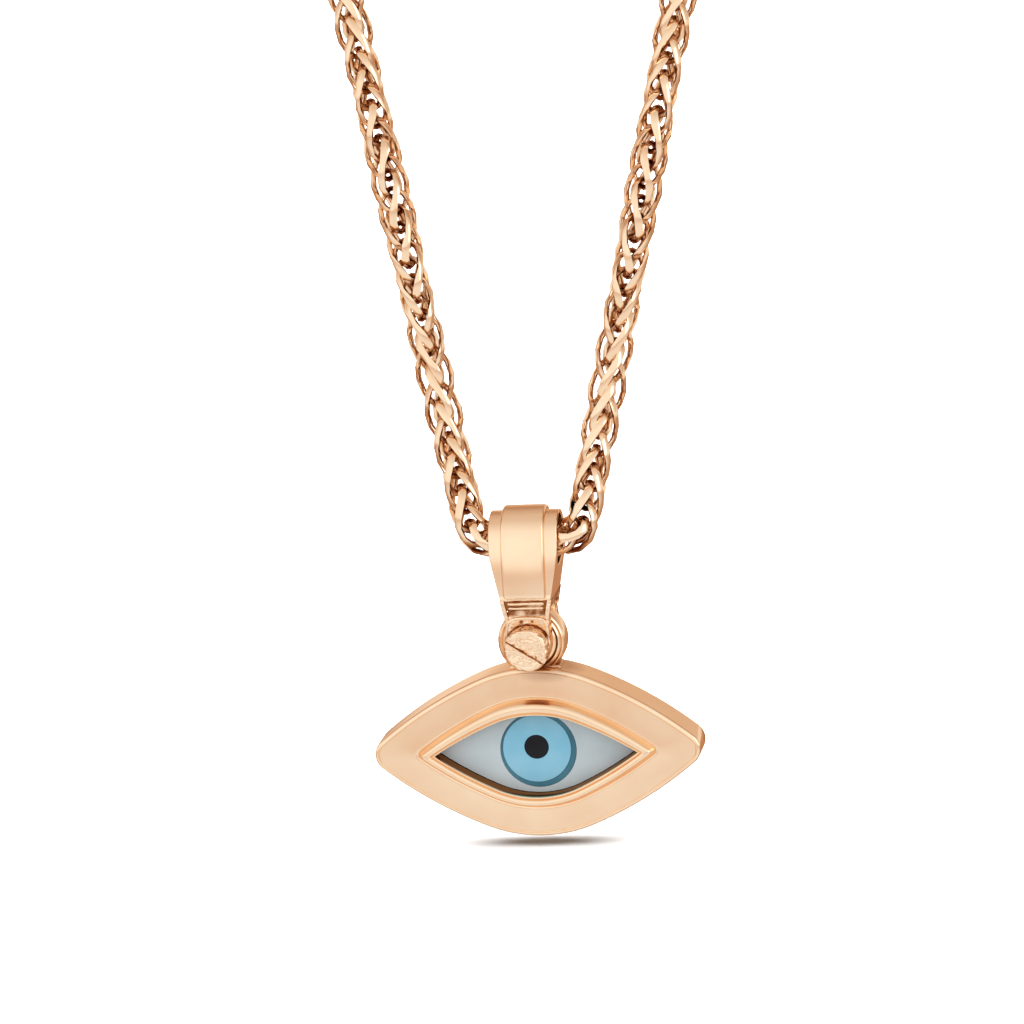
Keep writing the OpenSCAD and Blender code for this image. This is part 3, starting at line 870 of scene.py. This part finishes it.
def makeChain():
    line, along = wholeRoute()
    wholeReach = along[-1]
    lastMiddle = wholeReach - (chainSet["claspRun"] + chainSet["endIn"]) * mm
    count = 2 * round(lastMiddle / (chainSet["pitch"] * mm))
    spacing = 2 * lastMiddle / count
    frames = frameTable(line, along, wholeReach, chainSet["tableStep"] * mm)
    links = {}
    for steps in (chainSet["linkSteps"], chainSet["fineSteps"]):
        for hand in (1, -1):
            links[steps, hand] = makeLink(steps)
            shapeLink(links[steps, hand], hand)
    chain = bmesh.new()
    for number in range(count + 1):
        middle = -lastMiddle + spacing * number
        fine = abs(middle) < chainSet["fineReach"] * mm
        link = links[chainSet["fineSteps" if fine else "linkSteps"], 1 - 2 * (number % 2)].copy()
        base = math.radians(90 * (number % 2) + lookUp(chainSet["roll"], middle / mm))
        cosine, sine = math.cos(base), math.sin(base)
        for vert in link.verts:
            distance = middle + vert.co.z * mm
            place = (distance + wholeReach) / (2 * wholeReach) * (len(frames) - 1)
            index = min(max(int(place), 0), len(frames) - 2)
            share = place - index
            spotA, sideA, upA = frames[index]
            spotB, sideB, upB = frames[index + 1]
            x = (vert.co.x * cosine - vert.co.y * sine) * mm
            y = (vert.co.x * sine + vert.co.y * cosine) * mm
            vert.co = spotA.lerp(spotB, share) + sideA.lerp(sideB, share) * x + upA.lerp(upB, share) * y
        addTo(chain, link)
    for link in links.values():
        link.free()
    showPiece("chainLinks", chain, chainGold, "chain", "neck_chain", chainSet["sharp"])
    print("the chain has", count + 1, "links")


makeChain()

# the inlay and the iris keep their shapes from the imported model
for node, material in (("white_inlay", whiteEnamel), ("iris_ring", darkBlueEnamel),
                       ("iris_disc", lightBlueEnamel), ("pupil", blackEnamel)):
    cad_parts[node].data.materials.clear()
    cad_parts[node].data.materials.append(material)
print("enamel given to the inlay and the iris")


stageSet = {
    "floorSize": 60, "floorZ": -260.85,            # in m and in mm
    "floor": (0.3, 0.3, 0.3), "floorRough": 0.9,
    "sun": (22, 110),                              # strength, and the angle it seems to fill
    "softboxes": [                                 # name, place and size in m, power
        ("keyLight", (-0.2, -0.86, -0.14), (0.5, 0.4), 0.05),
        ("sideLight", (0.6, -0.35, 0.0), (0.25, 0.5), 0.5),
    ],
    "strength": 1.12,
    "front": [                                     # the sky before the pendant: sine of the elevation, colour
        (-0.40, (0.90, 0.90, 0.89)), (-0.26, (0.85, 0.81, 0.79)), (-0.17, (0.79, 0.69, 0.63)),
        (-0.09, (0.70, 0.54, 0.45)), (-0.03, (0.92, 0.90, 0.88)), (0.06, (1, 1, 0.99)), (0.6, (1, 0.99, 0.97)),
        (0.85, (0.86, 0.81, 0.76)), (1, (0.72, 0.60, 0.51)),
    ],
    "back": [                                      # and behind it
        (-0.12, (0.50, 0.30, 0.19)), (-0.04, (0.90, 0.88, 0.86)), (0.07, (0.90, 0.88, 0.86)),
        (0.15, (0.68, 0.55, 0.47)), (0.35, (0.73, 0.61, 0.53)), (0.5, (0.50, 0.31, 0.21)),
        (0.7, (0.50, 0.32, 0.22)), (1, (0.72, 0.60, 0.51)),
    ],
    "seam": (-0.3, 0.3),                           # where one goes over into the other, in the direction's y
}


def makeFloor():
    bm = bmesh.new()
    bmesh.ops.create_grid(bm, x_segments=1, y_segments=1, size=stageSet["floorSize"] / 2)
    bmesh.ops.translate(bm, verts=bm.verts[:], vec=(0, 0, stageSet["floorZ"] * mm))
    mesh = bpy.data.meshes.new("floor")
    bm.to_mesh(mesh)
    bm.free()
    made = newMaterial("paleFloor")
    material, shader = made[0], made[3]
    shader.inputs["Base Color"].default_value = (*stageSet["floor"], 1)
    shader.inputs["Roughness"].default_value = stageSet["floorRough"]
    mesh.materials.append(material)
    floor = bpy.data.objects.new("floor", mesh)
    bpy.context.collection.objects.link(floor)
    floor.visible_glossy = False                   # the gold reflects the sky alone
    floor.visible_diffuse = False


def softbox(name, place, size, power):             # a soft light that faces the eye
    data = bpy.data.lights.new(name, "AREA")
    data.shape = "RECTANGLE"
    data.size, data.size_y = size
    data.energy = power
    light = bpy.data.objects.new(name, data)
    turn = (Vector(place) - eyeAt).to_track_quat("Z", "Y").to_matrix()
    light.matrix_world = Matrix.Translation(Vector(place)) @ turn.to_4x4()
    bpy.context.collection.objects.link(light)


def makeFloorSun():                                # lights the floor alone, from straight above
    data = bpy.data.lights.new("floorSun", "SUN")
    data.energy, angle = stageSet["sun"]
    data.angle = math.radians(angle)
    sun = bpy.data.objects.new("floorSun", data)
    bpy.context.collection.objects.link(sun)
    onlyFloor = bpy.data.collections.new("onlyFloor")
    onlyFloor.objects.link(bpy.data.objects["floor"])
    sun.light_linking.receiver_collection = onlyFloor


def makeWorld():
    world = bpy.data.worlds.new("studio")
    bpy.context.scene.world = world
    world.use_nodes = True
    nodes, links = world.node_tree.nodes, world.node_tree.links
    nodes.clear()
    output = nodes.new("ShaderNodeOutputWorld")
    back = nodes.new("ShaderNodeBackground")
    way = splitUp(nodes, links, nodes.new("ShaderNodeTexCoord").outputs["Generated"])
    height = between(nodes, links, way["Z"], -1, 1)
    both = nodes.new("ShaderNodeMix")
    both.data_type = "RGBA"
    links.new(between(nodes, links, way["Y"], *stageSet["seam"]), both.inputs[0])
    for side, socket in (("front", 6), ("back", 7)):
        stops = [((sine + 1) / 2, colour) for sine, colour in stageSet[side]]
        links.new(ramp(nodes, links, height, stops), both.inputs[socket])
    links.new(both.outputs[2], back.inputs["Color"])
    back.inputs["Strength"].default_value = stageSet["strength"]
    links.new(back.outputs["Background"], output.inputs["Surface"])


makeFloor()
makeWorld()
for box in stageSet["softboxes"]:
    softbox(*box)
makeFloorSun()
bpy.context.scene.view_settings.view_transform = "Standard"
print("floor and lights placed")
